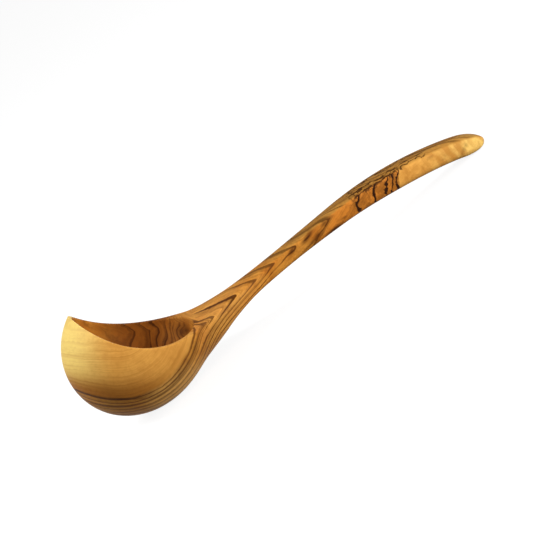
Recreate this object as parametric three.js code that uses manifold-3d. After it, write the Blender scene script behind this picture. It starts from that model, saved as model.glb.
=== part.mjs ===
// A ladle carved from one block of olive wood. Its bowl is a ball with a swooping rim, and its handle
// grows out of the back of the bowl, narrows to a waist, arches over and widens to a grip.
// Millimetres, +Z up. It lies as it does on a table, on the back of its bowl and the end of its
// handle, with the handle towards +X and the plane of symmetry at Y = 0.

import * as THREE from 'three';
import { LoftGeometry } from 'three/addons/geometries/LoftGeometry.js';
import { mergeVertices } from 'three/addons/utils/BufferGeometryUtils.js';
import Module from 'manifold-3d';

const wasm = await Module();
wasm.setup();

// Bowl. While it is carved it stands upright, with the centre of its ball at the origin.
const bowlRadius = 43;
const bowlFront = 0.952; // length of the bowl's front half, as a share of a ball's
const bowlLean = 0.088; // how far the belly leans to the front, per unit of depth
const floorThickness = 5; // at the deepest point of the hollow
const wallThickness = 2.9; // at the sides of the rim
const hollowBack = 0.93; // length of the hollow's back half, as a share of a ball's

// Top line: the line along the middle of the top, from the tip of the rim to the end of the handle.
// It swoops down across the bowl and up again, rises straight, arches over and droops.
const rimHeight = 4.1; // lowest point of the rim above the centre of the ball
const swoopRadius = 74.2;
const swoopShift = 1.6; // lowest point of the rim behind the centre of the ball
const riseAngle = 37.7;
const riseLength = 92.6;
const archRadius = 248;
const archLength = 83.3;
const droopRadius = 121;
const droopLength = 23.1;

// Handle sections. Places are measured along the top line from where the swoop ends.
const rootAt = -40.8;
const waistAt = 53.2;
const gripAt = 139.3;
const rootWidth = 60.4;
const waistWidth = 14;
const gripWidth = 21;
const endWidth = 18.2;
const rootDepth = 36.2;
const waistThickness = 10.7;
const gripThickness = 13.8;
const endThickness = 12.6;
const noseLength = 17.1; // rounded end of the handle

// Carving
const widthFlare = 1.15; // how soon the root's width falls away towards the waist
const depthFlare = 2.96;
const widthBlend = 12; // softness of the corner between ball and root, seen from above
const depthBlend = 8; // and seen from the side
const squareness = 3.4; // power of the handle's section: 2 is an ellipse, more is a rounded rectangle
const noseBluntness = 2;
const noseLevel = 0.46; // level of the nose's tip, as a share of the thickness below the top line
const squareFrom = -18; // place where the sections start to turn from the ball's to the handle's
const squareOver = 38;

// Facets
const bowlRibs = 34;
const handleRibs = 24;
const noseRibs = 7;
const undersideSteps = 28;
const topSteps = 8;
const hollowSteps = 48;

const rad = THREE.MathUtils.degToRad;
const ease = THREE.MathUtils.smoothstep;
const lerp = THREE.MathUtils.lerp;

// The swoop is an arc about a point straight above the rim's lowest point.
const swoopCentre = new THREE.Vector2(swoopShift, rimHeight + swoopRadius);
const swoopDistance = swoopCentre.length();
const swoopLean = Math.atan2(swoopCentre.x, swoopCentre.y);
const halfSwoop = Math.acos(
  (swoopRadius ** 2 + swoopDistance ** 2 - bowlRadius ** 2) / (2 * swoopRadius * swoopDistance),
);
const tipAngle = halfSwoop + swoopLean; // from straight down to the tip of the rim
const swoopLength = swoopRadius * (tipAngle + rad(riseAngle));
const ballLength = 2 * halfSwoop * swoopRadius; // of the swoop, from the ball's front to its back
const topLength = swoopLength + riseLength + archLength + droopLength;

// Stretches of the top line, each with its length and its curvature
const stretches = [
  { length: swoopLength, curvature: 1 / swoopRadius },
  { length: riseLength, curvature: 0 },
  { length: archLength, curvature: -1 / archRadius },
  { length: droopLength, curvature: -1 / droopRadius },
];

// One step along an arc, or along a line where the curvature is zero
function advance(place, length, curvature) {
  const heading = place.heading + curvature * length;
  if (curvature === 0) {
    return {
      x: place.x + length * Math.cos(heading),
      z: place.z + length * Math.sin(heading),
      heading,
    };
  }
  return {
    x: place.x + (Math.sin(heading) - Math.sin(place.heading)) / curvature,
    z: place.z - (Math.cos(heading) - Math.cos(place.heading)) / curvature,
    heading,
  };
}

// Point and heading of the top line at a distance from the tip of the rim
function topLine(distance) {
  let place = {
    x: swoopCentre.x - swoopRadius * Math.sin(tipAngle),
    z: swoopCentre.y - swoopRadius * Math.cos(tipAngle),
    heading: -tipAngle,
  };
  let left = distance;
  for (const { length, curvature } of stretches) {
    const step = Math.min(left, length);
    place = advance(place, step, curvature);
    left -= step;
  }
  return place;
}

// Larger of two sizes, with the corner between them rounded off
function softMax(a, b, blend) {
  const nearness = Math.max(blend - Math.abs(a - b), 0) / blend;
  return Math.max(a, b) + (nearness ** 2 * blend) / 4;
}

// Half width at the rim and depth under it of the ball, where a plane square to the swoop cuts it
function ballRib(distance) {
  const angle = distance / swoopRadius - tipAngle;
  const offset = swoopDistance * Math.sin(angle + swoopLean);
  const level = swoopDistance * Math.cos(angle + swoopLean) - swoopRadius;
  const radius = Math.sqrt(Math.max(bowlRadius ** 2 - offset ** 2, 0));
  const depth = Math.max(level + radius, 0);
  const halfWidth = distance < ballLength ? Math.sqrt(Math.max(radius ** 2 - level ** 2, 0)) : 0;
  return { halfWidth, depth: distance < ballLength ? depth : 0 };
}

// A size of the handle: it falls away from the root, is least at the waist and swells to the grip
function handleSize(place, root, waist, grip, end, flare) {
  if (place < waistAt) {
    const fromRoot = THREE.MathUtils.clamp((place - rootAt) / (waistAt - rootAt), 0, 1);
    return lerp(waist, root, Math.cos((Math.PI / 2) * fromRoot) ** (2 * flare));
  }
  if (place < gripAt) {
    return lerp(waist, grip, ease(place, waistAt, gripAt));
  }
  return lerp(grip, end, ease(place, gripAt, topLength - swoopLength));
}

// Half width and depth of the whole ladle at a distance along the top line
function ribSize(distance) {
  const ball = ballRib(distance);
  if (distance < ballLength / 2) return ball;
  const place = distance - swoopLength;
  const width = handleSize(place, rootWidth, waistWidth, gripWidth, endWidth, widthFlare);
  const depth = handleSize(place, rootDepth, waistThickness, gripThickness, endThickness, depthFlare);
  return {
    halfWidth: softMax(ball.halfWidth, width / 2, widthBlend),
    depth: softMax(ball.depth, depth, depthBlend),
  };
}

// Section of the bowl: an arc through both edges of the rim and the keel, closed by a flat top.
// Points are [across, up], from the edge at -Y round the underside and back over the top.
function bowlSection({ halfWidth, depth }) {
  const radius = (halfWidth ** 2 + depth ** 2) / (2 * depth);
  const centre = radius - depth;
  const span = Math.acos(THREE.MathUtils.clamp(centre / radius, -1, 1));
  const points = [];
  for (let i = 0; i <= undersideSteps; i += 1) {
    const angle = span * ((2 * i) / undersideSteps - 1);
    points.push([radius * Math.sin(angle), centre - radius * Math.cos(angle)]);
  }
  for (let i = 1; i < topSteps; i += 1) {
    points.push([halfWidth * (1 - (2 * i) / topSteps), 0]);
  }
  return points;
}

// Section of the handle: a superellipse, in the same order as the bowl's section
function handleSection({ halfWidth, depth }) {
  const corner = rad(45); // where the top meets the underside
  const rounded = (value) => Math.sign(value) * Math.abs(value) ** (2 / squareness);
  const at = (angle) => [
    halfWidth * rounded(Math.cos(angle)),
    (depth / 2) * (rounded(Math.sin(angle)) - 1),
  ];
  const points = [];
  for (let i = 0; i <= undersideSteps; i += 1) {
    points.push(at(Math.PI - corner + ((Math.PI + 2 * corner) * i) / undersideSteps));
  }
  for (let i = 1; i < topSteps; i += 1) {
    points.push(at(corner + ((Math.PI - 2 * corner) * i) / topSteps));
  }
  return points;
}

// One rib of the ladle: its section, rounded off at the nose and stood square to the top line
function rib(distance) {
  const size = ribSize(distance);
  const squared = ease(distance - swoopLength, squareFrom, squareFrom + squareOver);
  const intoNose = Math.max(distance - (topLength - noseLength), 0) / noseLength;
  const nose = (1 - intoNose ** noseBluntness) ** (1 / noseBluntness);
  const noseHeight = -noseLevel * size.depth;
  const { x, z, heading } = topLine(distance);
  const round = bowlSection(size);
  const square = handleSection(size);
  return round.map(([across, up], i) => {
    const y = nose * lerp(across, square[i][0], squared);
    const height = lerp(up, square[i][1], squared);
    const lean = bowlLean * Math.min(height, 0) * (1 - squared);
    const n = noseHeight + nose * (height - noseHeight);
    return new THREE.Vector3(x - n * Math.sin(heading) + lean, y, z + n * Math.cos(heading));
  });
}

// Distances of the ribs: close together at the tip of the rim and in the nose
function ribDistances() {
  const distances = [];
  const bowlTurn = rad(135); // share of a half circle over which the ribs spread out
  const noseTurn = rad(88); // the last rib stops just short of the nose's tip
  for (let i = 1; i <= bowlRibs; i += 1) {
    distances.push((ballLength / 2) * (1 - Math.cos((bowlTurn * i) / bowlRibs)));
  }
  const bowlEnd = distances.at(-1);
  const noseStart = topLength - noseLength;
  for (let i = 1; i <= handleRibs; i += 1) {
    distances.push(lerp(bowlEnd, noseStart, i / handleRibs));
  }
  for (let i = 1; i <= noseRibs; i += 1) {
    distances.push(noseStart + noseLength * Math.sin((noseTurn * i) / noseRibs));
  }
  return distances;
}

// A closed solid of a geometry's bare points and faces
function solid(geometry) {
  const bare = new THREE.BufferGeometry();
  bare.setAttribute('position', geometry.attributes.position);
  bare.setIndex(geometry.index);
  const merged = mergeVertices(bare, 1e-5);
  const mesh = new wasm.Mesh({
    numProp: 3,
    vertProperties: new Float32Array(merged.attributes.position.array),
    triVerts: new Uint32Array(merged.index.array),
  });
  return new wasm.Manifold(mesh);
}

function geometryOf(manifold) {
  const mesh = manifold.getMesh();
  const geometry = new THREE.BufferGeometry();
  geometry.setAttribute('position', new THREE.BufferAttribute(mesh.vertProperties, 3));
  geometry.setIndex(new THREE.BufferAttribute(mesh.triVerts, 1));
  return geometry;
}

// The hollow is a ball too, sized by the floor and by the wall at the rim. Its back half is shorter, which
// leaves more wood at the neck, and it leans as the bowl does.
function hollowGeometry() {
  const floorLevel = bowlRadius - floorThickness;
  const mouth = Math.sqrt(bowlRadius ** 2 - rimHeight ** 2) - wallThickness;
  const lift = (mouth ** 2 - floorLevel ** 2 + rimHeight ** 2) / (2 * (floorLevel + rimHeight));
  const geometry = new THREE.SphereGeometry(floorLevel + lift, hollowSteps, hollowSteps / 2);
  geometry.translate(0, 0, lift);
  const points = geometry.attributes.position;
  for (let i = 0; i < points.count; i += 1) {
    const reach = points.getX(i) > 0 ? hollowBack * points.getX(i) : points.getX(i);
    points.setX(i, reach + bowlLean * Math.min(points.getZ(i) - rimHeight, 0));
  }
  return geometry;
}

// Draws in the front of the bowl, which is a little shorter than a ball's
function drawIn(geometry) {
  const points = geometry.attributes.position;
  for (let i = 0; i < points.count; i += 1) {
    if (points.getX(i) < 0) points.setX(i, bowlFront * points.getX(i));
  }
}

// Turn that lays the ladle down: the bowl's back and the handle's end come to the same level
function restTurn(geometry) {
  const points = geometry.attributes.position;
  const { x: neckX } = topLine(swoopLength);
  let low = 0;
  let high = rad(80);
  for (let step = 0; step < 50; step += 1) {
    const turn = (low + high) / 2;
    let bowlLevel = Infinity;
    let handleLevel = Infinity;
    for (let i = 0; i < points.count; i += 1) {
      const level = points.getZ(i) * Math.cos(turn) - points.getX(i) * Math.sin(turn);
      if (points.getX(i) < neckX) bowlLevel = Math.min(bowlLevel, level);
      else handleLevel = Math.min(handleLevel, level);
    }
    if (handleLevel > bowlLevel) low = turn;
    else high = turn;
  }
  return (low + high) / 2;
}

const hull = new LoftGeometry(ribDistances().map(rib), { closed: true, capStart: true, capEnd: true });
const carved = geometryOf(solid(hull).subtract(solid(hollowGeometry())));
drawIn(carved);
carved.rotateY(restTurn(carved));
carved.computeBoundingBox();
const { min, max } = carved.boundingBox;
carved.translate(-(min.x + max.x) / 2, 0, -min.z);
carved.computeVertexNormals();

const oliveWood = new THREE.MeshStandardMaterial({ color: 0xc08a45, roughness: 0.5, metalness: 0 });
const ladle = new THREE.Mesh(carved, oliveWood);
ladle.name = 'ladle';

const group = new THREE.Group();
group.add(ladle);

export default group;
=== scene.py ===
import math

import bmesh
import bpy
import numpy as np
from mathutils import Matrix, Vector


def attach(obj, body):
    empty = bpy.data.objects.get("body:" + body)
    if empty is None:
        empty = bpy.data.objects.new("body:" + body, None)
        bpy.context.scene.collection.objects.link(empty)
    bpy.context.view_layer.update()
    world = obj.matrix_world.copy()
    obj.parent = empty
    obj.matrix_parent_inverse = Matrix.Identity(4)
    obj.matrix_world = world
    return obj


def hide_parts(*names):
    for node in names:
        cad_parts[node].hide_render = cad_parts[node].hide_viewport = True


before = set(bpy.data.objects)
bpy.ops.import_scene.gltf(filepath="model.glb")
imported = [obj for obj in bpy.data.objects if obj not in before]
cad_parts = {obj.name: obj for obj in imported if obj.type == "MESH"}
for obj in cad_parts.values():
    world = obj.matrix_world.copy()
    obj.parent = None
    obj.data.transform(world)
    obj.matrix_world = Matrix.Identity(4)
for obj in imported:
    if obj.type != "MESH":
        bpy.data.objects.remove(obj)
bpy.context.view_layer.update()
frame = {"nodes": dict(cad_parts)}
print("frame loaded:", ", ".join(frame["nodes"]))

# The ladle's shape in millimetres, as it is carved: bowl upright, ball's centre at the origin, handle
# towards +x, plane of symmetry y = 0. Places on the handle count from the end of the rim's swoop.
ladle = {
    "bowlRadius": 43.0, "bowlFront": 0.952, "bowlLean": 0.088,  # the front half is shorter than a ball's
    "floorThickness": 5.0, "wallThickness": 2.9, "hollowBack": 0.93,  # and so is the hollow's back half
    "rimHeight": 4.1, "swoopRadius": 74.2, "swoopShift": 1.6,
    "riseAngle": 37.7, "riseLength": 92.6, "archRadius": 248.0, "archLength": 83.3,
    "droopRadius": 121.0, "droopLength": 23.1,
    "rootAt": -40.8, "waistAt": 53.2, "gripAt": 139.3,
    "widths": (60.4, 14.0, 21.0, 18.2), "widthFlare": 1.15, "widthBlend": 12.0,  # root, waist, grip, end
    "depths": (36.2, 10.7, 13.8, 12.6), "depthFlare": 2.96, "depthBlend": 8.0,
    "squareness": 3.4, "squareFrom": -18.0, "squareOver": 38.0,
    "noseLength": 17.1, "noseBluntness": 2.0, "noseLevel": 0.46,
    "lipRound": 0.5, "mouthRound": 0.6,  # how far the rounding of the rim's two edges reaches,
    "undersideShare": 0.25, "topShare": 0.2, "rimShare": 0.3,  # and the most that it takes of a surface
    "fanLength": 98.0, "crossAt": 83.5,  # ribs fan out from the tip; the rib just behind the mouth
    "bowlRibs": 52, "handleRibs": 118, "noseRibs": 14,
    "undersideCells": 46, "topCells": 18, "hollowRows": 30, "mouthStations": 6000, "subdivision": 1,
    "steepestLay": 80.0, "layHalvings": 50,  # the turn that lays it down is found between level and this
}

swoopCentre = np.array([ladle["swoopShift"], ladle["rimHeight"] + ladle["swoopRadius"]])  # x and z
swoopDistance = np.hypot(*swoopCentre)
swoopLean = math.atan2(*swoopCentre)
halfSwoop = math.acos((ladle["swoopRadius"] ** 2 + swoopDistance ** 2 - ladle["bowlRadius"] ** 2)
                      / (2 * ladle["swoopRadius"] * swoopDistance))
tipAngle = halfSwoop + swoopLean  # from straight down to the tip of the rim
swoopLength = ladle["swoopRadius"] * (tipAngle + math.radians(ladle["riseAngle"]))
ballLength = 2 * halfSwoop * ladle["swoopRadius"]
topLength = swoopLength + ladle["riseLength"] + ladle["archLength"] + ladle["droopLength"]
tiny = 1e-6  # in place of nothing, where a size divides
millimetre = 0.001  # in metres
mergeDigits = 4  # points that agree to these decimals are one


def ease(value, start, end):
    # smoothstep: 3q^2 - 2q^3 of the clipped share q of the way from start to end
    q = np.clip((value - start) / (end - start), 0, 1)
    return q * q * (3 - 2 * q)


def fade(value, start, end):
    # the same, falling from 1 to 0
    return 1 - ease(value, start, end)


def softMax(a, b, blend):
    # larger of two sizes; a parabola rounds the corner where they are closer than the blend
    near = np.maximum(blend - np.abs(a - b), 0) / blend
    return np.maximum(a, b) + near ** 2 * blend / 4


def topLine(s):
    # the line along the middle of the top: swoop, rise, arch and droop, each of constant curvature c.
    # Over a stretch the heading grows by c times the length, and the point moves by the differences of
    # the heading's sine and cosine over c, or straight on where c is zero.
    heading = np.full_like(s, -tipAngle)
    x = np.full_like(s, swoopCentre[0] - ladle["swoopRadius"] * math.sin(tipAngle))
    z = np.full_like(s, swoopCentre[1] - ladle["swoopRadius"] * math.cos(tipAngle))
    start = 0.0
    for length, c in ((swoopLength, 1 / ladle["swoopRadius"]), (ladle["riseLength"], 0.0),
                      (ladle["archLength"], -1 / ladle["archRadius"]),
                      (ladle["droopLength"], -1 / ladle["droopRadius"])):
        step = np.clip(s - start, 0, length)
        after = heading + c * step
        if c:
            x = x + (np.sin(after) - np.sin(heading)) / c
            z = z - (np.cos(after) - np.cos(heading)) / c
        else:
            x, z = x + step * np.cos(heading), z + step * np.sin(heading)
        heading = after
        start += length
    return x, z, heading


def handleSize(place, sizes, flare):
    # falls from the root to the waist as a power of a cosine, then eases to the grip and to the end
    root, waist, grip, end = sizes
    share = np.clip((place - ladle["rootAt"]) / (ladle["waistAt"] - ladle["rootAt"]), 0, 1)
    neck = waist + (root - waist) * np.cos(np.pi / 2 * share) ** (2 * flare)
    swell = waist + (grip - waist) * ease(place, ladle["waistAt"], ladle["gripAt"])
    tail = grip + (end - grip) * ease(place, ladle["gripAt"], topLength - swoopLength)
    return np.where(place < ladle["waistAt"], neck, np.where(place < ladle["gripAt"], swell, tail))


def ribSize(s):
    # half width at the rim and depth under it, where a plane square to the top line cuts the ladle:
    # the ball's own chord and sagitta in the bowl, softly joined to the handle's sizes behind it
    turn = s / ladle["swoopRadius"] - tipAngle + swoopLean
    level = swoopDistance * np.cos(turn) - ladle["swoopRadius"]
    cut = np.sqrt(np.maximum(ladle["bowlRadius"] ** 2 - (swoopDistance * np.sin(turn)) ** 2, 0))
    inBall = s < ballLength
    ballDepth = np.where(inBall, np.maximum(level + cut, 0), 0)
    ballWidth = np.where(inBall, np.sqrt(np.maximum(cut ** 2 - level ** 2, 0)), 0)
    width = handleSize(s - swoopLength, ladle["widths"], ladle["widthFlare"]) / 2
    depth = handleSize(s - swoopLength, ladle["depths"], ladle["depthFlare"])
    front = s < ballLength / 2
    return (np.where(front, ballWidth, softMax(ballWidth, width, ladle["widthBlend"])),
            np.where(front, ballDepth, softMax(ballDepth, depth, ladle["depthBlend"])))


def ribPoint(s, t, overTop):
    # point t of the rib at s: t from -1 to 1 runs round the underside, or back over the top.
    # In the bowl a rib is an arc through both edges and the keel under a flat top, on the handle a
    # superellipse, of which the underside has three quarters of the turn and the top one, and a mix
    # between. The nose shrinks it about a level inside the handle's end.
    halfWidth, depth = ribSize(s)
    depth = np.maximum(depth, tiny)
    radius = (halfWidth ** 2 + depth ** 2) / (2 * depth)
    span = np.arccos(np.clip((radius - depth) / radius, -1, 1))
    if overTop:
        arcAcross, arcUp, angle = -halfWidth * t, np.zeros_like(t), np.radians(90 + 45 * t)
    else:
        arcAcross, arcUp = radius * np.sin(span * t), radius - depth - radius * np.cos(span * t)
        angle = np.radians(270 + 135 * t)
    power = 2 / ladle["squareness"]
    boxAcross = halfWidth * np.sign(np.cos(angle)) * np.abs(np.cos(angle)) ** power
    boxUp = depth / 2 * (np.sign(np.sin(angle)) * np.abs(np.sin(angle)) ** power - 1)
    squared = ease(s - swoopLength, ladle["squareFrom"], ladle["squareFrom"] + ladle["squareOver"])
    across = arcAcross + (boxAcross - arcAcross) * squared
    up = arcUp + (boxUp - arcUp) * squared
    lean = ladle["bowlLean"] * np.minimum(up, 0) * (1 - squared)
    intoNose = np.clip((s - topLength) / ladle["noseLength"] + 1, 0, 1)
    nose = (1 - intoNose ** ladle["noseBluntness"]) ** (1 / ladle["noseBluntness"])
    noseUp = -ladle["noseLevel"] * depth
    return standUp(s, nose * across, noseUp + nose * (up - noseUp), lean)


def standUp(s, across, up, lean=0.0):
    # a rib's point, square to the top line
    x, z, heading = topLine(s)
    return np.stack([x - up * np.sin(heading) + lean, across, z + up * np.cos(heading)], -1)


def edgedSpread(rows, cells, edgeShare):
    # t from -1 to 1 for each rib, even but for a close column at each edge, which keeps the edge crisp
    edge = 1 - edgeShare[:, None]
    inner = np.linspace(-1, 1, cells - 1)[None, :] * edge
    t = np.concatenate([-np.ones_like(edge), inner, np.ones_like(edge)], 1)
    return np.repeat(rows[:, None], t.shape[1], 1), t


def hollowBall():
    # the hollow is a ball too: its floor lies under the rim, and its mouth leaves the wall at the rim.
    # Its back half is shorter, which leaves more wood at the neck.
    floorLevel = ladle["bowlRadius"] - ladle["floorThickness"]
    mouth = math.sqrt(ladle["bowlRadius"] ** 2 - ladle["rimHeight"] ** 2) - ladle["wallThickness"]
    lift = mouth ** 2 - floorLevel ** 2 + ladle["rimHeight"] ** 2
    lift = lift / (2 * (floorLevel + ladle["rimHeight"]))
    return lift, floorLevel + lift


def mouthPlace(azimuth):
    # where the hollow's ball meets the flat top, in each direction round the mouth: place and side
    lift, radius = hollowBall()
    s = np.linspace(0, ballLength, ladle["mouthStations"])
    x, z, heading = topLine(s)
    x = np.where(x > 0, x / ladle["hollowBack"], x)
    square = radius ** 2 - x ** 2 - (z - lift) ** 2
    s, x, y = s[square > 0], x[square > 0], np.sqrt(square[square > 0])
    order = np.argsort(np.arctan2(y, x))
    turn = np.abs(azimuth)
    place = np.interp(turn, np.arctan2(y, x)[order], s[order])
    across = np.interp(turn, np.arctan2(y, x)[order], y[order]) * np.sign(azimuth)
    return place, np.where(np.abs(np.sin(azimuth)) < tiny, 0, across)


def carvedPatches():
    # ribs: a fan from the tip (half a cosine), even along the handle, a sine into the nose
    fanTurn = math.acos(1 - 2 * ladle["crossAt"] / ladle["fanLength"])
    bowl = ladle["fanLength"] / 2 * (1 - np.cos(np.linspace(0, fanTurn, ladle["bowlRibs"] + 1)))
    noseStart = topLength - ladle["noseLength"]
    handle = np.linspace(ladle["crossAt"], noseStart, ladle["handleRibs"] + 1)
    nose = noseStart + ladle["noseLength"] * np.sin(np.linspace(0, np.pi / 2, ladle["noseRibs"] + 1))
    handle = np.concatenate([handle, nose[1:]])

    # underside of every rib; the first is the tip of the rim, one point
    ribs = np.concatenate([bowl, handle[1:]])
    halfWidth, depth = ribSize(ribs)
    halfArc = np.maximum(np.hypot(halfWidth, depth), tiny)
    edgeShare = np.minimum(ladle["lipRound"] / halfArc, ladle["undersideShare"])
    s, t = edgedSpread(ribs, ladle["undersideCells"], edgeShare)
    hull = ribPoint(s, t, False)
    hull[0] = hull[0, :1]

    # top of the handle, from the rib just behind the mouth to the end
    edgeShare = np.minimum(ladle["lipRound"] / ribSize(handle)[0], ladle["topShare"])
    s, t = edgedSpread(handle, ladle["topCells"], edgeShare)
    top = ribPoint(s, t, True)

    # rim and hollow: columns run from the outer edge over the lip, then down the hollow's wall.
    # The loop of outer edge points goes up one side, across the handle's first rib and down the other.
    ribCount = len(bowl)
    loop = np.concatenate([hull[:ribCount, 0], top[0, -2:0:-1], hull[ribCount - 1:0:-1, -1]])
    loopPlace = np.concatenate([bowl, np.full(top.shape[1] - 2, bowl[-1]), bowl[:0:-1]])
    x, z, heading = topLine(loopPlace)
    loopUp = (loop[:, 2] - z) / np.cos(heading)
    ballX = np.where(loop[:, 0] > 0, loop[:, 0] / ladle["hollowBack"], loop[:, 0])
    place, across = mouthPlace(np.arctan2(loop[:, 1], ballX))
    reach = np.hypot(loopPlace - place, loop[:, 1] - across)
    first = np.minimum(ladle["lipRound"] / reach, ladle["rimShare"])
    last = 1 - np.minimum(ladle["mouthRound"] / reach, ladle["rimShare"])
    share = np.stack([0 * reach, first, (first + last) / 2, last, 0 * reach + 1])
    lip = standUp(loopPlace + (place - loopPlace) * share, loop[:, 1] + (across - loop[:, 1]) * share,
                  loopUp * (1 - share) ** 2)
    lip[0] = loop

    # each column of the wall is a meridian of the hollow's ball, sheared as the bowl leans
    lift, radius = hollowBall()
    polar = np.arccos(np.clip((lift - lip[-1, :, 2]) / radius, -1, 1))
    ballX = np.where(lip[-1, :, 0] > 0, lip[-1, :, 0] / ladle["hollowBack"], lip[-1, :, 0])
    meridian = np.arctan2(lip[-1, :, 1], ballX)
    near = np.minimum(ladle["mouthRound"] / (radius * polar), ladle["rimShare"])
    down = np.linspace(0, 1, ladle["hollowRows"])[:, None]
    angle = polar * (1 - near) * (1 - down)
    z = lift - radius * np.cos(angle)
    x = radius * np.sin(angle) * np.cos(meridian)
    lean = ladle["bowlLean"] * np.minimum(z - ladle["rimHeight"], 0)
    x = np.where(x > 0, x * ladle["hollowBack"], x) + lean
    wall = np.stack([x, radius * np.sin(angle) * np.sin(meridian), z], -1)
    return [(hull, False), (top, False), (np.concatenate([lip, wall]), True)]


def joinPatches(patches):
    # cells of each grid, the last column joined to the first where it is closed. Patches share their
    # edge points, so equal points become one, and a cell that loses a corner at a pole is a triangle.
    allPoints, allCells, start = [], [], 0
    for points, closed in patches:
        rows, columns = points.shape[:2]
        cellsRound = columns if closed else columns - 1
        i, j = np.meshgrid(np.arange(rows - 1), np.arange(cellsRound), indexing="ij")
        k = (j + 1) % columns
        corners = [i * columns + j, i * columns + k, (i + 1) * columns + k, (i + 1) * columns + j]
        allCells.append(start + np.stack(corners, -1).reshape(-1, 4))
        allPoints.append(points.reshape(-1, 3))
        start += rows * columns
    rounded = np.round(np.concatenate(allPoints), mergeDigits) + 0.0  # adding zero drops minus signs of zero
    points, index = np.unique(rounded, axis=0, return_inverse=True)
    cells = index.ravel()[np.concatenate(allCells)]
    doubled = cells == np.roll(cells, -1, 1)
    quads = cells[doubled.sum(1) == 0]
    folded = doubled.sum(1) == 1
    triangles = cells[folded][~doubled[folded]].reshape(-1, 3)
    return points, quads.tolist() + triangles.tolist()


def layDownMatrix(points):
    # turn about y at which the bowl's back and the handle's end are equally low, found by halving,
    # then the shift that centres the length and puts the lowest point on the table; in metres
    neck = topLine(np.array([swoopLength]))[0][0]
    low, high = 0.0, math.radians(ladle["steepestLay"])
    for step in range(ladle["layHalvings"]):
        turn = (low + high) / 2
        level = points[:, 2] * math.cos(turn) - points[:, 0] * math.sin(turn)
        if level[points[:, 0] >= neck].min() > level[points[:, 0] < neck].min():
            low = turn
        else:
            high = turn
    x = points[:, 0] * math.cos(turn) + points[:, 2] * math.sin(turn)
    shift = Matrix.Translation((-(x.min() + x.max()) / 2, 0, -level.min()))
    return Matrix.Scale(millimetre, 4) @ shift @ Matrix.Rotation(turn, 4, "Y")


points, faces = joinPatches(carvedPatches())
points[:, 0] = np.where(points[:, 0] < 0, points[:, 0] * ladle["bowlFront"], points[:, 0])
layDown = layDownMatrix(points)
placed = points @ np.array(layDown.to_3x3()).T + np.array(layDown.translation)
mesh = bpy.data.meshes.new("carvedLadle")
mesh.from_pydata(placed.tolist(), [], faces)
tidyMesh = bmesh.new()
tidyMesh.from_mesh(mesh)
bmesh.ops.recalc_face_normals(tidyMesh, faces=tidyMesh.faces)
tidyMesh.to_mesh(mesh)
openEdges = sum(1 for edge in tidyMesh.edges if len(edge.link_faces) != 2)
volume = tidyMesh.calc_volume(signed=True)
tidyMesh.free()
mesh.shade_smooth()
carvedLadle = bpy.data.objects.new("carvedLadle", mesh)
bpy.context.collection.objects.link(carvedLadle)
smooth = carvedLadle.modifiers.new("smooth", "SUBSURF")
smooth.levels = smooth.render_levels = ladle["subdivision"]
print("ladle carved:", len(points), "points,", openEdges, "open edges,", f"{volume * 1e6:.1f} cubic cm")

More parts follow.
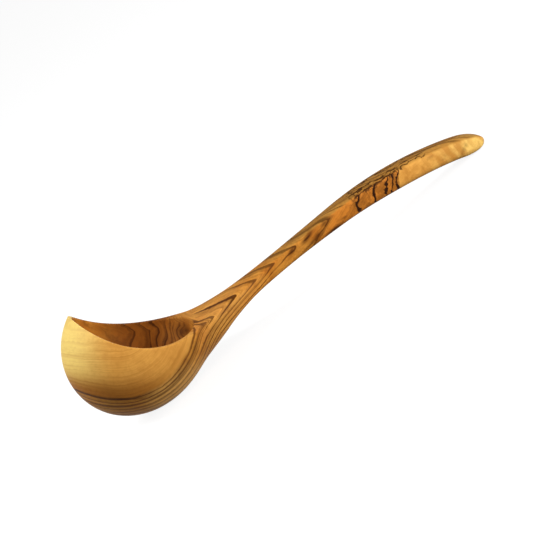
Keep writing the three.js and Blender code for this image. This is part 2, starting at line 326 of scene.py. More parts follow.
# How the wood grew, in the carving's millimetres. In the bowl its rings stand round a pith that crosses
# above it, and flatten towards the far side. Up the handle they turn into sheets, folded along the near side.
grain = {
    "pithPoint": (-6.0, 3.4, 11.5), "pithAxis": (0.245, 0.957, -0.155),
    "flatSides": (-10.0, 25.0), "flatness": 0.25, "frontSpread": 0.25,  # far rings: height, way to the front
    "nearSpread": (0.15, 0.82), "nearLevels": (20.0, 42.0),  # near rings: way to the front, at two depths
    "bend": 7.0, "bendLevels": (-6.0, -1.0), "bendUntil": (11.0, 25.0),  # far lines lean near the rim
    "sway": 0.9, "swaySteps": (2.3, 3.0),  # millimetres up and back for each radian
    "curl": (36.0, -5.0, 4.0, 7.0), "curlDark": 1.0,  # behind and above the pith, reach, rise
    "join": (69.0, 83.0),  # places where rings turn into sheets
    "hollowSkin": 0.1, "hollowJoin": (0.5, 4.0),  # the hollow's wall keeps the bowl's rings from here down
    "foldPlaces": (85.0, 105.0, 122.0), "foldLevels": (-0.3, -1.2, -2.7),  # the fold under the top line
    "underSlope": 6.5, "underPlaces": (62.0, 95.0), "overSlope": 3.4, "foldRound": 0.8,
    "steepen": 0.66, "steepPlaces": (154.0, 178.0), "steepSteps": 24,  # under the fold, towards the grip
    "foldReaches": (1.3, 0.9), "nearSide": (0.0, 4.0),  # lines swell this near the fold, on the near side
    "shoulder": 0.8, "shoulderRound": 1.5,
    "drift": 0.9, "gripDrift": 1.8, "gripPlaces": (140.0, 168.0),  # across the top, per millimetre
    # dark lines, as ring in the bowl, place of the fold on the handle, and strength
    "lines": ((0, 0, 0.5), (5.5, 12, 0.9), (16.5, 25, 1), (20.5, 35, 0.9), (25.5, 45, 0.9), (31, 54, 0.6),
              (36, 62, 0.8), (40.5, 70, 0.6), (44.4, 77.5, 0.8), (46.5, 83.9, 1), (48.4, 89.1, 1),
              (50.2, 108.2, 1), (52.4, 123.9, 0.9), (54.3, 138.9, 0.9), (56.2, 152.8, 0.9), (58.6, 178.3, 1)),
    # the lines after those: how many, their step, and how their gaps and strengths wave from line to line
    "moreLines": 30, "lineStep": (2.5, 12.0, 0.0), "gapWave": (0.45, 2.4), "strengthWave": (0.75, 0.25, 1.7),
    "lineWidths": (1.2, 3.6), "widestLine": 0.5,  # in ring and place; the most of a gap that a line fills
    # heartwood: the ring and the place where it starts, how fast it deepens up the handle and before the
    # last dark line of the grip, how the border tilts in front, and how deep it is on the far side
    "heartFrom": 43.0, "heartPlace": 75.5, "sheetDepth": 0.5, "inkDepth": 4.0, "paleAt": 5.1,
    "heartTilt": (-15.0, -28.0, 0.4), "farHeart": 60.0, "farSide": (-8.0, 40.0),
    "innerShift": 16.0,  # the hollow's wall shows more heartwood
    # place, side, level, reaches along and down, tilt and rise of each knot
    "knots": ((151.7, -7.5, -3.6, 3.0, 1.6, 0.0, -7.0), (163.0, -7.7, -3.4, 5.5, 1.2, 0.15, -15.0)),
    "knotReach": 4.0,  # across the handle
    # dark spots on the near side: place, level, reaches along and down, tilt and strength
    "spots": ((97.0, -2.6, 5.0, 0.7, 0.06, 0.6), (150.6, -3.6, 3.8, 1.5, 0.24, 0.9),
              (162.7, -3.0, 5.4, 1.4, 0.2, 0.9), (175.5, -3.0, 2.6, 0.9, 0.0, 0.8),
              (162.0, -7.7, 9.0, 0.6, 0.16, 0.75), (168.5, -6.6, 2.6, 0.9, 0.16, 0.7),
              (178.0, -10.3, 7.5, 1.7, 0.0, 1.0), (184.6, -9.6, 1.0, 1.6, 0.0, 0.8),
              (187.2, -7.9, 2.4, 0.7, 0.05, 0.7), (204.6, -5.6, 3.2, 2.0, 0.2, 0.42),
              (252.4, -3.7, 2.6, 0.8, 0.1, 0.25), (260.5, -7.9, 2.6, 0.8, 0.3, 0.25),
              (274.6, -7.0, 3.4, 1.5, 1.2, 0.5)),
    # each dark line across the grip: its places at three levels under the top
    "inkLevels": (-11.0, -6.0, -2.5),
    "inks": ((184, 184, 186), (198, 198.4, 202), (209.2, 210.3, 214.5), (217.9, 220.6, 222.5),
             (221.5, 225.8, 226.6), (226, 227.3, 230.4), (238, 238, 240)),
    # over the near side the lines run on along the top and sway, with these steps along and across
    "inkSide": -8.0, "inkFlow": 6.0, "inkSway": 9.0, "inkSwaySteps": (7.0, 1.5), "inkSwayFrom": (0.0, 5.0),
    # dark traces along the top of the grip: how far across each lies at these places
    "tracePlaces": (198.0, 206.0, 214.0, 219.0, 225.0, 231.0, 236.0, 242.0, 247.0, 253.0),
    "traces": ((-9.4, -8.9, -9.4, -9.7, -9.5, -8.9, -8.1, -8.2, -7.6, -6.5),
               (-5.5, -6.0, -7.0, -8.3, -7.6, -7.4, -5.6, -6.0, -5.4, -3.2),
               (1.0, -1.0, 2.0, 0.0, 1.0, -1.5, 1.0, 0.0, 1.5, 2.0)),
    "traceFar": 20.0, "stations": 400,  # stations along the handle, from which places are measured
}
easeSlope = 1.5  # the steepest slope of ease, over its own length


def ribPlaceOf(points):
    # place along the top line and height over it of any point: by angle about the swoop's centre in the
    # bowl, and by the nearest of many stations on the handle
    dx, dz = points[:, 0] - swoopCentre[0], swoopCentre[1] - points[:, 2]
    s = ladle["swoopRadius"] * (np.arctan2(dx, dz) + tipAngle)
    onHandle = s > swoopLength
    stations = np.linspace(swoopLength, topLength, grain["stations"])
    x, z, heading = topLine(stations)
    ahead = (points[onHandle, None, 0] - x) * np.cos(heading)
    ahead = ahead + (points[onHandle, None, 2] - z) * np.sin(heading)
    nearest = np.abs(ahead).argmin(1)
    s[onHandle] = stations[nearest] + ahead[np.arange(len(nearest)), nearest]
    x, z, heading = topLine(s)
    up = (points[:, 2] - z) * np.cos(heading) - (points[:, 0] - x) * np.sin(heading)
    return s, up


def ringOf(points):
    # distance from the pith. Towards the far side the height over it counts less, and so does the way to
    # the front, so the rings open into lines that stand upright and sway; a bump curls them round one spot.
    # The plain ring leaves that out.
    axis = np.array(grain["pithAxis"]) / np.linalg.norm(grain["pithAxis"])
    level = np.array([axis[1], -axis[0], 0]) / math.hypot(axis[0], axis[1])
    fromPith = points - np.array(grain["pithPoint"])
    alongPith, behind, above = fromPith @ axis, fromPith @ level, fromPith @ np.cross(level, axis)
    far = ease(alongPith, *grain["flatSides"])
    lean = grain["bend"] * ease(above, *grain["bendLevels"]) * fade(behind, *grain["bendUntil"])
    stepUp, stepBack = grain["swaySteps"]
    bent = behind + far * (lean + grain["sway"] * np.sin(above / stepUp + behind / stepBack))
    least, most = grain["nearSpread"]
    spread = least + (most - least) * ease(-above, *grain["nearLevels"])
    plain = np.hypot(np.where(behind < 0, behind * spread, behind), above)
    bent = np.where(bent < 0, bent * (spread + far * (grain["frontSpread"] - spread)), bent)
    flat = above * (1 - far * (1 - grain["flatness"]))
    place, height, reach, rise = grain["curl"]
    spot = ((bent - place) ** 2 + (above - height) ** 2) / reach ** 2
    bump = far * np.exp(-spot)
    return np.hypot(bent, flat) + rise * bump, plain, alongPith, behind, bump


def hollowGap(points):
    # how far a point lies outside the hollow's ball, once the bowl's front, lean and back are undone
    lift, radius = hollowBall()
    x = np.where(points[:, 0] < 0, points[:, 0] / ladle["bowlFront"], points[:, 0])
    x = x - ladle["bowlLean"] * np.minimum(points[:, 2] - ladle["rimHeight"], 0)
    x = np.where(x > 0, x / ladle["hollowBack"], x)
    return np.sqrt(x ** 2 + points[:, 1] ** 2 + (points[:, 2] - lift) ** 2) - radius


def sheetOf(s, up, across):
    # place where the sheet through a point meets the fold: on from the point's own place, as far as the
    # point lies under the fold, over it, or across the handle from the near shoulder. How steep a sheet
    # stands depends on that place, so it is found in small steps. Also how near the fold the point is.
    fold = np.interp(s, grain["foldPlaces"], grain["foldLevels"])
    gap = np.sqrt((fold - up) ** 2 + grain["foldRound"] ** 2) - grain["foldRound"]
    under, over = (gap + fold - up) / 2, (gap - fold + up) / 2
    steep = grain["underSlope"] * ease(s, *grain["underPlaces"])
    drift = grain["drift"] + (grain["gripDrift"] - grain["drift"]) * ease(s, *grain["gripPlaces"])
    shoulder = across + grain["shoulder"] * ribSize(s)[0]
    onTop = (np.sqrt(shoulder ** 2 + grain["shoulderRound"] ** 2) + shoulder) / 2
    start, run = s + grain["overSlope"] * over + drift * onTop, steep * under
    sheet = start + run
    first, last = grain["steepPlaces"]
    for step in range(grain["steepSteps"]):
        steeper = start + run * (1 - grain["steepen"] * ease(sheet, first, last))
        sheet = sheet + (steeper - sheet) / (1 + easeSlope * run * grain["steepen"] / (last - first))
    for place, side, level, along, down, tilt, rise in grain["knots"]:
        sunk = (up - level - tilt * (s - place)) / down
        aside = (across - side) / grain["knotReach"]
        sheet = sheet + rise * np.exp(-((s - place) / along) ** 2 - sunk ** 2 - aside ** 2)
    underReach, overReach = grain["foldReaches"]
    foldNear = np.exp(-(under / underReach) ** 2 - (over / overReach) ** 2)
    return sheet, foldNear * ease(-across, *grain["nearSide"])


def passedLines(value, lines):
    # how many lines lie before a value, in whole lines and shares of the gap to the next, and that gap
    gaps = np.diff(lines, axis=0)
    count = np.clip((value - lines[:-1]) / gaps, 0, 1).sum(0)
    between = np.clip(np.floor(count).astype(int), 0, len(gaps) - 1)
    return count, np.take_along_axis(gaps, between[None], 0)[0]


def inkOf(s, up, across):
    # count and gap of the dark lines round the grip. Across the top they run on towards the end and sway.
    over = np.maximum(across - grain["inkSide"], 0)
    stepAlong, stepAcross = grain["inkSwaySteps"]
    sway = np.sin(s / stepAlong + over / stepAcross) * ease(over, *grain["inkSwayFrom"])
    place = s - grain["inkFlow"] * over + grain["inkSway"] * sway
    inks = [np.interp(up, grain["inkLevels"], places) for places in grain["inks"]]
    return passedLines(place, np.stack(inks))


def traceOf(s, across):
    # the same for the traces along the top, counted from beyond the near side to beyond the far side
    far = np.full_like(s, grain["traceFar"])
    traces = [np.interp(s, grain["tracePlaces"], sides) for sides in grain["traces"]]
    return passedLines(across, np.stack([-far] + traces + [far]))


def spotsOf(s, up, across):
    # darkness of the spots: each falls over a tilted oval as e to minus the fourth power of the reach
    dark = np.zeros_like(s)
    for place, level, along, down, tilt, strength in grain["spots"]:
        sunk = (up - level - tilt * (s - place)) / down
        dark = np.maximum(dark, strength * np.exp(-(((s - place) / along) ** 2 + sunk ** 2) ** 2))
    return dark * ease(-across, *grain["nearSide"])


# Where each trait of the wood fades in or out, and how much of it shows. Places run along the top line and
# levels over it, depths under the ball's centre and fronts before it, sides along the pith and backs
# behind it.
zones = {
    "topFacing": (0.45, 0.85), "topPlaces": (100.0, 160.0), "topWiden": 1.5,  # the handle's top face, with wider lines and a painted shade
    "plainSides": (0.0, 12.0), "plainFronts": (6.0, 14.0),  # no lines on the far wall in front
    "rimSides": (0.0, 10.0), "rimBacks": (18.0, 26.0),  # fewer lines on the far rim by the neck
    "rimLevels": (-6.0, -1.5), "rimPlaces": (80.0, 88.0), "rimPlain": 0.85,
    "outerRings": (46.0, 49.0), "outerFade": 0.45,  # fainter lines under the bowl
    "softBacks": (0.0, 22.0), "softDepths": (-14.0, 2.0),  # a soft border behind the pith, under the rim
    "softBorder": 0.75, "softHidden": 0.6,
    "neckLevels": (-7.0, -2.0), "neckPlaces": (62.0, 72.0), "neckHidden": 0.9,  # and none at the neck's rim
    "bellyRings": (20.0, 43.0), "bellyDepths": (2.0, 26.0),  # browner and darker down the bowl: partly the wood's tone, partly painted shade
    "bellyBacks": (4.0, 30.0), "bellyBackShare": 0.25,
    "frontPlaces": (16.0, 43.0), "frontDepths": (0.0, 24.0), "frontLoss": 0.35,  # paler sapwood in front
    "endPlaces": (238.0, 290.0), "endShare": 0.6, "endTilt": 0.3,  # and at the end of the handle
    "lowBacks": (10.0, 26.0), "lowDepths": (0.0, 18.0),  # paler heartwood under the neck, partly painted light where the underside is shaded
    "neckUntil": (95.0, 135.0), "neckShare": 0.35,
    "deepSides": (5.0, 24.0), "deepBacks": (-25.0, 3.0),  # deep brown on the far wall, partly the heartwood's tone and partly painted shade
    "deepUntil": (14.0, 36.0), "deepShares": (0.2, 0.85, 0.5),  # in front, gained behind, lost
    "gripSheets": (179.5, 184.0), "gripDepths": (0.8, 2.4), "gripFrom": (150.0, 160.0),  # a plain near side
    "waveLines": 2.4, "wavePlaces": (135.0, 178.0), "waveLevels": (-6.0, -2.0),  # wavy lines near the top
    "veinFrom": (192.0, 200.0), "veinUntil": (226.0, 246.0), "veinLevels": (-5.0, -3.0),  # on the grip
    "traceFrom": (196.0, 200.0), "traceUntil": (246.0, 256.0), "traceLevels": (-3.4, -2.6),
}

s, up = ribPlaceOf(points)
across, depth = points[:, 1], -points[:, 2]
facing = np.zeros(3 * len(points), np.float32)
mesh.vertex_normals.foreach_get("vector", facing)
facing = facing.reshape(-1, 3) @ np.array(layDown.to_3x3().normalized())
heading = topLine(s)[2]
faceUp = facing[:, 2] * np.cos(heading) - facing[:, 0] * np.sin(heading)
# where the handle's top faces up: its lines widen there, and it is painted darker as shade
topFace = ease(faceUp, *zones["topFacing"]) * ease(s, *zones["topPlaces"])
ring, plainRing, alongPith, behind, curl = ringOf(points)
inner = fade(hollowGap(points), 0.0, ladle["wallThickness"])
sheet, foldNear = sheetOf(s, up, across)
onHandle = ease(s, *grain["join"])
inHollow = hollowGap(points) < grain["hollowSkin"]
onHandle = np.where(inHollow, onHandle * fade(-up, *grain["hollowJoin"]), onHandle)

# count of the ring lines passed, by ring in the bowl and by sheet on the handle
lines = np.array(grain["lines"])
order = np.arange(1, grain["moreLines"] + 1)
gapWave, gapTurn = grain["gapWave"]
more = lines[-1] + (order + gapWave * np.sin(gapTurn * order))[:, None] * np.array(grain["lineStep"])
middle, strengthWave, strengthTurn = grain["strengthWave"]
more[:, 2] = middle + strengthWave * np.sin(strengthTurn * order)
ringLines, sheetLines, strengths = np.concatenate([lines, more]).T
number = np.arange(len(ringLines))
ringCount = np.interp(plainRing + (ring - plainRing) * inner, ringLines, number)
ringCount = ringCount + (np.interp(sheet, sheetLines, number) - ringCount) * onHandle

# each line's share of the gap before it, and its strength
ahead = np.clip(np.floor(ringCount).astype(int) + 1, 1, len(number) - 1)
ringShare, sheetShare = (width / (line[ahead] - line[ahead - 1])
                         for width, line in zip(grain["lineWidths"], (ringLines, sheetLines)))
lineShare = (ringShare + (sheetShare - ringShare) * onHandle) * (1 + zones["topWiden"] * topFace)
plainFront = ease(alongPith, *zones["plainSides"]) * ease(-behind, *zones["plainFronts"]) * inner
plainRim = ease(alongPith, *zones["rimSides"]) * ease(behind, *zones["rimBacks"])
plainRim = plainRim * ease(up, *zones["rimLevels"]) * fade(s, *zones["rimPlaces"])
outside = 1 - zones["outerFade"] * ease(ring, *zones["outerRings"]) * (1 - onHandle)
lineStrength = np.interp(ringCount, number, strengths) * (1 - plainFront)
lineStrength = lineStrength * (1 - zones["rimPlain"] * plainRim) * outside

# the sapwood's border, as a depth into the heartwood; the far side and the handle are heartwood, but for
# the pale end after the last dark line
inkCount, inkGap = inkOf(s, up, across)
traceCount, traceGap = traceOf(s, across)
tiltFrom, tiltTo, tilt = grain["heartTilt"]
heart = ring - grain["heartFrom"] - tilt * ease(behind, tiltFrom, tiltTo)
heart = heart + (grain["sheetDepth"] * (sheet - grain["heartPlace"]) - heart) * onHandle
heart = heart + grain["farHeart"] * ease(alongPith + grain["innerShift"] * inner, *grain["farSide"])
heart = np.minimum(heart, grain["inkDepth"] * (grain["paleAt"] - inkCount))
soft = ease(behind, *zones["softBacks"]) * ease(depth, *zones["softDepths"])
hidden = zones["neckHidden"] * ease(up, *zones["neckLevels"]) * ease(s, *zones["neckPlaces"])

# how much of each tone shows
# browner towards the back and down the bowl: partly the wood's tone, partly painted shade under the bowl
bellyBack = zones["bellyBackShare"] * ease(behind, *zones["bellyBacks"])
belly = np.maximum(ease(depth, *zones["bellyDepths"]), bellyBack)
frontLoss = zones["frontLoss"] * ease(depth, *zones["frontDepths"])
frontPale = ease(-points[:, 0], *zones["frontPlaces"]) * (1 - frontLoss)
plainGrip = ease(sheet, *zones["gripSheets"]) * ease(-up, *zones["gripDepths"])
# paler at the bowl's lower back and along the neck: partly the wood's tone, partly painted light on the
# underside
lowPaleAndLit = ease(behind, *zones["lowBacks"]) * ease(depth, *zones["lowDepths"]) * (1 - onHandle)
# deep brown on the far side of the pith: partly the heartwood's tone, partly painted shade on the hollow's
# far wall
deepFront, deepBack, deepLoss = zones["deepShares"]
deep = deepFront + deepBack * ease(behind, *zones["deepBacks"]) - deepLoss * ease(behind, *zones["deepUntil"])
growth = {
    "ringCount": ringCount,
    "lineShare": np.minimum(lineShare, grain["widestLine"]),
    "lineStrength": lineStrength,
    "foldNear": foldNear * onHandle,
    "heartDepth": heart,
    "borderSharp": 1 - zones["softBorder"] * soft,
    "borderShown": (1 - zones["softHidden"] * soft) * (1 - hidden),
    "spots": np.maximum(spotsOf(s, up, across), grain["curlDark"] * curl * inner * (1 - onHandle)),
    "inkCount": inkCount,
    "inkGap": inkGap,
    "traceCount": traceCount,
    "traceGap": traceGap,
    "traced": ease(s, *zones["traceFrom"]) * fade(s, *zones["traceUntil"]) * ease(up, *zones["traceLevels"]),
    "veined": ease(s, *zones["veinFrom"]) * fade(s, *zones["veinUntil"]) * ease(up, *zones["veinLevels"]),
    "belly": belly * ease(ring, *zones["bellyRings"]) * (1 - onHandle),
    "frontPale": frontPale + zones["endShare"] * ease(s, *zones["endPlaces"]),
    "lowPaleAndLit": lowPaleAndLit + zones["neckShare"] * onHandle * fade(s, *zones["neckUntil"]),
    "farDeepAndShade": deep * ease(alongPith, *zones["deepSides"]) * (1 - onHandle),
    "plainGrip": plainGrip * ease(s, *zones["gripFrom"]),
    "topFace": topFace,
    "endPlace": s + zones["endTilt"] * up,
    "gripWave": zones["waveLines"] * ease(s, *zones["wavePlaces"]) * ease(up, *zones["waveLevels"]),
}
for name, values in growth.items():
    mesh.attributes.new(name, "FLOAT", "POINT").data.foreach_set("value", values.astype(np.float32))
print("grain laid:", ", ".join(growth))


def tone(*shown):
    # a colour as a paint program shows it, to linear light, by the sRGB curve
    share = np.array(shown) / 255
    linear = np.where(share > 0.04045, ((share + 0.055) / 1.055) ** 2.4, share / 12.92)
    return (*linear.tolist(), 1.0)


oliveLook = {
    # the deep sapwood tone gives brown patches, and darkens the bowl's underside partly as painted shade
    "sapwood": tone(226, 163, 75), "sapwoodPale": tone(255, 223, 127), "sapwoodDeepAndShade": tone(170, 106, 36),
    # the pale heartwood tone is partly painted light on the underside of the neck and the bowl's back
    "heartwood": tone(211, 140, 53), "heartwoodDeep": tone(194, 116, 36), "heartwoodPaleAndLit": tone(240, 178, 92),
    # the belly tone is partly painted shade down the bowl; the far side's deep tone is partly painted shade
    # on the hollow's far wall
    "heartwoodBellyAndShade": tone(186, 130, 56), "bellyShare": 0.7, "farDeepAndShade": tone(134, 76, 22),
    "gripOrange": tone(210, 128, 44), "endBand": tone(188, 124, 48),
    # the top face's olive tone is painted shade, shown at the first share; the line tone after it is the
    # lines' colour in that painted shade
    "topShade": tone(174, 125, 56), "topShare": 0.85, "topLine": tone(98, 64, 22), "topLineShare": 0.6,
    # the deep line tone darkens lines down the bowl, partly as painted shade
    "sapLine": tone(176, 108, 40), "sapLineDeepAndShade": tone(118, 68, 20), "ringLine": tone(78, 38, 6),
    "border": tone(62, 28, 4), "bandDepth": 0.7, "bandWobble": 6.0,
    "stain": tone(126, 74, 22), "ink": tone(46, 20, 4), "traceJag": 0.9, "veinCount": 7.0,
    "wobble": 0.15, "shiver": 0.08,  # slow and fast wandering of the ring lines, in lines
    "specular": 0.06, "bump": 0.25, "bumpDepth": 0.0003,  # in metres
    # clouds: scale and detail
    "clouds": {"slow": (70.0, 2.0), "wave": (45.0, 1.0), "veins": (95.0, 3.0), "patchy": (150.0, 2.0),
               "rough": (220.0, 4.0), "fast": (420.0, 3.0)},
    # clouds drawn out along the lines: scale, detail, clouds for each line or millimetre, roughness
    "mood": (25.0, 1.0, 0.9, 0.5), "streak": (14.0, 3.0, 2.2, 0.65), "fibre": (45.0, 2.0, 8.0, 0.6),
    "bands": (70.0, 5.0, 0.16, 0.6),
}
# Smooth ramps of the wood's values: where each starts and ends, and what it gives before and after
ramps = {
    "lateWood": (0.35, 0.95, 0.0, 0.34), "lineEdge": (0.5, 1.1, 1.0, 0.0), "lineEnd": (0.97, 1.0, 1.0, 0.0),
    "moodSwell": (0.3, 0.7, 0.7, 1.3), "foldSwell": (0.0, 1.0, 1.0, 1.5), "moodFade": (0.35, 0.6, 0.75, 1.0),
    "gripFade": (0.0, 1.0, 1.0, 0.06), "lineShown": (0.0, 1.0, 0.14, 0.95),
    "inHeart": (-0.3, 0.4, 0.0, 1.0), "band": (0.3, 1.1, 0.9, 0.0), "bandPatch": (0.35, 0.6, 0.5, 1.0),
    "bandUntil": (0.5, 1.0, 1.0, 0.0), "sapPatch": (0.4, 0.66, 0.0, 0.25), "palePatch": (0.0, 1.0, 1.0, 0.2),
    "endFrom": (5.0, 5.5, 0.0, 1.0), "endBands": (0.42, 0.62, 0.0, 0.75),
    "endMottle": (0.46, 0.62, 0.0, 0.35), "heartPatch": (0.35, 0.65, 0.0, 1.0),
    "streak": (0.46, 0.68, 0.0, 1.0), "heartStreak": (0.0, 1.0, 0.3, 0.55), "endStreak": (0.0, 1.0, 1.0, 0.3),
    "fibre": (0.42, 0.68, 0.0, 0.2), "fleck": (0.45, 0.65, 0.0, 0.14), "paleQuiet": (0.0, 1.0, 1.0, 0.4),
    "spotPatch": (0.3, 0.6, 0.7, 1.0), "zoneFrom": (0.7, 0.8, 0.0, 1.0), "zoneUntil": (5.1, 5.18, 1.0, 0.0),
    "zoneTop": (0.2, 0.9, 1.0, 0.25), "stain": (0.42, 0.6, 0.0, 0.6),
    "clusterFrom": (2.3, 2.7, 0.0, 1.0), "clusterJag": (0.0, 1.0, 0.35, 1.1),
    "clusterFine": (0.0, 1.0, 0.9, 1.4), "inkPatch": (0.4, 0.62, 0.75, 1.8), "inkEdge": (0.5, 1.2, 1.0, 0.0),
    "veinEdge": (0.05, 0.13, 0.9, 0.0), "veinPatch": (0.35, 0.55, 0.3, 1.0),
    "tracePatch": (0.4, 0.62, 2.2, 0.8), "traceEdge": (0.35, 0.9, 0.9, 0.0),
    "roughness": (0.3, 0.7, 0.48, 0.6),
}
noiseMiddle = 0.5
halfLine = 0.5  # of the count from one line to the next


def node(tree, kind, values=None, **settings):
    # a new node with its settings; inputs are given by name or number, as a value or another node's output
    new = tree.nodes.new(kind)
    for name, value in settings.items():
        setattr(new, name, value)
    for key, value in (values or {}).items():
        if isinstance(value, bpy.types.NodeSocket):
            tree.links.new(value, new.inputs[key])
        else:
            new.inputs[key].default_value = value
    return new


def maths(tree, operation, *values):
    return node(tree, "ShaderNodeMath", dict(enumerate(values)), operation=operation).outputs[0]


def times(tree, *values):
    product = values[0]
    for value in values[1:]:
        product = maths(tree, "MULTIPLY", product, value)
    return product


def ranged(tree, value, start, end, low, high, kind):
    return node(tree, "ShaderNodeMapRange", {0: value, 1: start, 2: end, 3: low, 4: high},
                interpolation_type=kind).outputs[0]


def ramp(tree, value, name, kind="SMOOTHSTEP"):
    return ranged(tree, value, *ramps[name], kind)


def blended(tree, share, first, second):
    return node(tree, "ShaderNodeMix", {0: share, 6: first, 7: second}, data_type="RGBA").outputs[2]


def clouded(tree, coordinates, scale, detail):
    values = {"Vector": coordinates, "Scale": scale, "Detail": detail}
    return node(tree, "ShaderNodeTexNoise", values).outputs[0]


def drawnOut(tree, coordinates, value, scale, detail, frequency, roughness):
    # clouds in four dimensions: thin along the fourth value and long across it
    values = {"Vector": coordinates, "Scale": scale, "Detail": detail, "Roughness": roughness,
              "W": maths(tree, "MULTIPLY", value, frequency / scale)}
    return node(tree, "ShaderNodeTexNoise", values, noise_dimensions="4D").outputs[0]


def woodClouds(tree, field):
    # the wood's noises, and the count of ring lines as it wanders
    coordinates = node(tree, "ShaderNodeTexCoord").outputs["Object"]
    cloud = {name: clouded(tree, coordinates, *size) for name, size in oliveLook["clouds"].items()}
    wobble, shiver = oliveLook["wobble"], oliveLook["shiver"]
    cloud["wobble"] = maths(tree, "MULTIPLY_ADD", cloud["slow"], 2 * wobble, -wobble)
    shiver = maths(tree, "MULTIPLY_ADD", cloud["fast"], 2 * shiver, -shiver)
    count = maths(tree, "ADD", maths(tree, "ADD", field["ringCount"], cloud["wobble"]), shiver)
    wave = maths(tree, "SUBTRACT", cloud["wave"], noiseMiddle)
    cloud["count"] = maths(tree, "MULTIPLY_ADD", wave, field["gripWave"], count)
    for name in ("mood", "streak", "fibre"):
        cloud[name] = drawnOut(tree, coordinates, cloud["count"], *oliveLook[name])
    cloud["bands"] = drawnOut(tree, coordinates, field["endPlace"], *oliveLook["bands"])
    return cloud


def ringDark(tree, field, cloud):
    # each ring darkens slowly, then ends in a line with a crisp outer edge. Lines swell at the fold, and
    # thicken and fade from ring to ring.
    share = maths(tree, "FRACT", cloud["count"])
    left = maths(tree, "SUBTRACT", 1.0, share)
    swell = times(tree, field["lineShare"], ramp(tree, cloud["mood"], "moodSwell"),
                  ramp(tree, field["foldNear"], "foldSwell"))
    line = ramp(tree, maths(tree, "DIVIDE", left, swell), "lineEdge")
    line = times(tree, line, ramp(tree, share, "lineEnd"))
    dark = maths(tree, "MAXIMUM", ramp(tree, share, "lateWood"), line)
    return times(tree, dark, field["lineStrength"], ramp(tree, cloud["mood"], "moodFade"),
                 ramp(tree, field["plainGrip"], "gripFade"))


def sapwoodTone(tree, field, cloud, atEnd):
    # pale in front and browner towards the border and down the bowl, partly as painted shade, with bands and
    # mottling at the handle's end
    sap = blended(tree, field["frontPale"], oliveLook["sapwood"], oliveLook["sapwoodPale"])
    sap = blended(tree, field["belly"], sap, oliveLook["sapwoodDeepAndShade"])
    patch = times(tree, ramp(tree, cloud["slow"], "sapPatch"), ramp(tree, field["frontPale"], "palePatch"))
    sap = blended(tree, patch, sap, oliveLook["sapwoodDeepAndShade"])
    mottle = ramp(tree, cloud["rough"], "endMottle")
    mottle = maths(tree, "MAXIMUM", ramp(tree, cloud["bands"], "endBands"), mottle)
    return blended(tree, times(tree, mottle, atEnd), sap, oliveLook["endBand"])


def heartwoodTone(tree, field, cloud):
    # patchy, greyer down the bowl partly as painted shade, paler under the neck partly as painted light, deep
    # brown on the far wall partly as painted shade, and orange at the grip
    patch = ramp(tree, cloud["slow"], "heartPatch")
    heart = blended(tree, patch, oliveLook["heartwood"], oliveLook["heartwoodDeep"])
    belly = times(tree, field["belly"], oliveLook["bellyShare"])
    heart = blended(tree, belly, heart, oliveLook["heartwoodBellyAndShade"])
    for share, name in (("lowPaleAndLit", "heartwoodPaleAndLit"), ("farDeepAndShade", "farDeepAndShade"), ("plainGrip", "gripOrange")):
        heart = blended(tree, field[share], heart, oliveLook[name])
    return heart


def ringedWood(tree, field, cloud):
    # sapwood and heartwood with painted shade on the handle's top face, then streaks, fibres and flecks,
    # ring lines, the dark band where the heartwood starts, and the spots
    depth = maths(tree, "MULTIPLY_ADD", cloud["wobble"], oliveLook["bandWobble"], field["heartDepth"])
    depth = times(tree, depth, field["borderSharp"])
    inHeart = ramp(tree, depth, "inHeart")
    atEnd = ramp(tree, field["inkCount"], "endFrom")
    wood = blended(tree, inHeart, sapwoodTone(tree, field, cloud, atEnd), heartwoodTone(tree, field, cloud))
    # painted shade: the handle's top face turns darker olive
    wood = blended(tree, times(tree, field["topFace"], oliveLook["topShare"]), wood, oliveLook["topShade"])

    # lines darken down the bowl, partly as painted shade
    lineTone = blended(tree, field["belly"], oliveLook["sapLine"], oliveLook["sapLineDeepAndShade"])
    lineTone = blended(tree, inHeart, lineTone, oliveLook["ringLine"])
    quiet = ramp(tree, field["frontPale"], "paleQuiet")
    streaks = times(tree, ramp(tree, cloud["streak"], "streak"), ramp(tree, inHeart, "heartStreak"),
                    ramp(tree, atEnd, "endStreak"))
    fibres = times(tree, ramp(tree, cloud["fibre"], "fibre"), quiet)
    flecks = times(tree, ramp(tree, cloud["fast"], "fleck"), quiet)
    for share in (streaks, fibres, flecks):
        wood = blended(tree, share, wood, lineTone)

    # on the far side lines take the border's dark tone, partly as painted shade
    lineTone = blended(tree, field["farDeepAndShade"], lineTone, oliveLook["border"])
    # on the top face lines take the tone of its painted shade
    lineTone = blended(tree, field["topFace"], lineTone, oliveLook["topLine"])
    shown = maths(tree, "MAXIMUM", inHeart, times(tree, field["topFace"], oliveLook["topLineShare"]))
    dark = times(tree, ringDark(tree, field, cloud), ramp(tree, shown, "lineShown"))
    wood = blended(tree, dark, wood, lineTone)
    offBand = maths(tree, "ABSOLUTE", maths(tree, "SUBTRACT", depth, oliveLook["bandDepth"]))
    band = times(tree, ramp(tree, offBand, "band"), ramp(tree, cloud["slow"], "bandPatch"),
                 field["borderShown"], ramp(tree, field["inkCount"], "bandUntil"))
    wood = blended(tree, band, wood, oliveLook["border"])
    spots = times(tree, field["spots"], ramp(tree, cloud["rough"], "spotPatch"))
    return blended(tree, spots, wood, oliveLook["ringLine"])


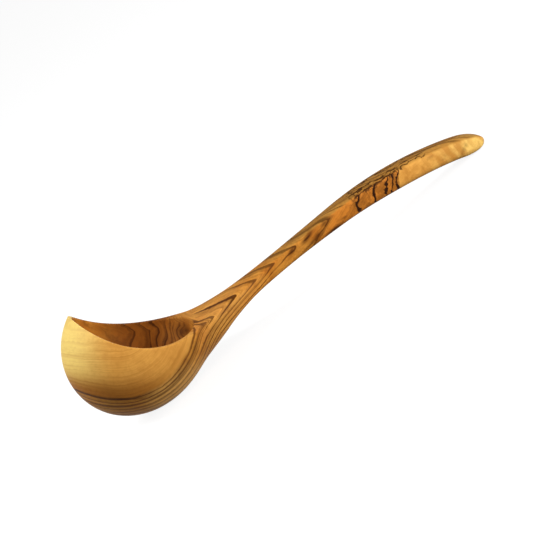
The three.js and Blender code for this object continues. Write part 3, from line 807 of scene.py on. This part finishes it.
def inkedWood(tree, field, cloud, wood):
    # dark lines where the wood began to turn, across the grip, with stains between them, and veins and
    # traces on its top. A line is as far off as the count is from a whole number, times the gap.
    inZone = times(tree, ramp(tree, field["inkCount"], "zoneFrom"),
                   ramp(tree, field["inkCount"], "zoneUntil"), ramp(tree, field["topFace"], "zoneTop"))
    stain = times(tree, inZone, ramp(tree, cloud["rough"], "stain"))
    wood = blended(tree, stain, wood, oliveLook["stain"])
    jagged = maths(tree, "SUBTRACT", cloud["rough"], noiseMiddle)
    cluster = ramp(tree, field["inkCount"], "clusterFrom")
    count = maths(tree, "MULTIPLY_ADD", jagged, ramp(tree, cluster, "clusterJag"), field["inkCount"])
    away = times(tree, maths(tree, "PINGPONG", count, halfLine), field["inkGap"],
                 ramp(tree, cluster, "clusterFine"), ramp(tree, cloud["patchy"], "inkPatch"))
    ink = times(tree, ramp(tree, away, "inkEdge"), inZone)
    away = maths(tree, "PINGPONG", times(tree, cloud["veins"], oliveLook["veinCount"]), halfLine)
    vein = times(tree, ramp(tree, away, "veinEdge"), field["veined"], ramp(tree, cloud["slow"], "veinPatch"))
    count = maths(tree, "MULTIPLY_ADD", jagged, oliveLook["traceJag"], field["traceCount"])
    away = times(tree, maths(tree, "PINGPONG", count, halfLine), field["traceGap"],
                 ramp(tree, cloud["patchy"], "tracePatch"))
    trace = times(tree, ramp(tree, away, "traceEdge"), field["traced"])
    inked = maths(tree, "MAXIMUM", maths(tree, "MAXIMUM", ink, vein), trace)
    return blended(tree, inked, wood, oliveLook["ink"])


def oliveWood():
    material = bpy.data.materials.new("oliveWood")
    material.use_nodes = True
    tree = material.node_tree
    tree.nodes.clear()
    field = {}
    for name in growth:
        field[name] = node(tree, "ShaderNodeAttribute", attribute_name=name).outputs["Fac"]
    cloud = woodClouds(tree, field)
    wood = inkedWood(tree, field, cloud, ringedWood(tree, field, cloud))
    bump = node(tree, "ShaderNodeBump", {
        "Strength": oliveLook["bump"], "Distance": oliveLook["bumpDepth"], "Height": cloud["fibre"]})
    shader = node(tree, "ShaderNodeBsdfPrincipled", {
        "Base Color": wood, "Normal": bump.outputs[0], "Specular IOR Level": oliveLook["specular"],
        "Roughness": ramp(tree, cloud["streak"], "roughness", "LINEAR")})
    node(tree, "ShaderNodeOutputMaterial", {"Surface": shader.outputs[0]})
    return material


mesh.materials.append(oliveWood())
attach(carvedLadle, "root")
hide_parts("ladle")
print("wood finished")

studio = {
    "floorSize": 20.0, "floorColour": (0.24, 0.24, 0.24, 1.0), "floorLift": 0.88, "worldLight": 0.24,
    # place in the carving's millimetres, size and watts of each soft lamp; all face the ladle
    "lamps": {"front": ((95.0, -1070.0, 940.0), 1.1, 10.0), "left": ((-1120.0, 215.0, 370.0), 0.6, 10.8),
              "right": ((625.0, -865.0, 660.0), 0.35, 8.5)},
}


def paleFloor():
    corner = studio["floorSize"] / 2
    plane = bpy.data.meshes.new("paleFloor")
    corners = [(-corner, -corner, 0), (corner, -corner, 0), (corner, corner, 0), (-corner, corner, 0)]
    plane.from_pydata(corners, [], [(0, 1, 2, 3)])
    floor = bpy.data.objects.new("paleFloor", plane)
    bpy.context.collection.objects.link(floor)
    material = bpy.data.materials.new("paleFloor")
    material.use_nodes = True
    tree = material.node_tree
    tree.nodes.clear()
    path = node(tree, "ShaderNodeLightPath")
    seen = maths(tree, "MAXIMUM", path.outputs["Is Camera Ray"], path.outputs["Is Glossy Ray"])
    seen = maths(tree, "MAXIMUM", seen, path.outputs["Is Transmission Ray"])
    lift = maths(tree, "MULTIPLY", seen, studio["floorLift"])
    shader = node(tree, "ShaderNodeBsdfPrincipled", {
        "Base Color": studio["floorColour"], "Roughness": 1.0, "Specular IOR Level": 0.0,
        "Emission Color": (1, 1, 1, 1), "Emission Strength": lift})
    node(tree, "ShaderNodeOutputMaterial", {"Surface": shader.outputs[0]})
    plane.materials.append(material)


def lightStudio():
    world = bpy.data.worlds.new("studio")
    world.use_nodes = True
    bpy.context.scene.world = world
    tree = world.node_tree
    tree.nodes.clear()
    path = node(tree, "ShaderNodeLightPath")
    seen = maths(tree, "MAXIMUM", path.outputs["Is Camera Ray"], path.outputs["Is Transmission Ray"])
    level = ranged(tree, seen, 0.0, 1.0, studio["worldLight"], 1.0, "LINEAR")
    sky = node(tree, "ShaderNodeBackground", {"Color": (1, 1, 1, 1), "Strength": level})
    node(tree, "ShaderNodeOutputWorld", {"Surface": sky.outputs[0]})
    for name, (place, size, watts) in studio["lamps"].items():
        lamp = bpy.data.lights.new(name, "AREA")
        lamp.size, lamp.energy = size, watts
        holder = bpy.data.objects.new(name, lamp)
        holder.location = layDown @ Vector(place)
        holder.rotation_euler = (-holder.location).to_track_quat("-Z", "Y").to_euler()
        bpy.context.collection.objects.link(holder)


# The camera as it stood to the upright ladle, in the carving's millimetres, laid down with the ladle
view = {"yaw": 14.32, "elevation": 8.90, "aim": (81.40, 0.0, 42.35), "distance": 1500.0,
        "lens": 170.25, "sensor": 36.0, "farthest": 100.0}


def photoCamera():
    yaw, elevation = math.radians(view["yaw"]), math.radians(view["elevation"])
    level = math.cos(elevation)
    ahead = Vector((math.sin(yaw) * level, math.cos(yaw) * level, -math.sin(elevation)))
    right = Vector((math.cos(yaw), -math.sin(yaw), 0))
    above = right.cross(ahead)
    stand = Vector(view["aim"]) - view["distance"] * ahead
    turn = layDown.to_3x3().normalized() @ Matrix((right, above, -ahead)).transposed()
    lens = bpy.data.cameras.new("photoCamera")
    lens.lens, lens.sensor_width, lens.clip_end = view["lens"], view["sensor"], view["farthest"]
    camera = bpy.data.objects.new("photoCamera", lens)
    camera.matrix_world = Matrix.Translation(layDown @ stand) @ turn.to_4x4()
    bpy.context.collection.objects.link(camera)
    bpy.context.scene.camera = camera


paleFloor()
lightStudio()
photoCamera()
bpy.context.scene.view_settings.view_transform = "Standard"
print("studio set")
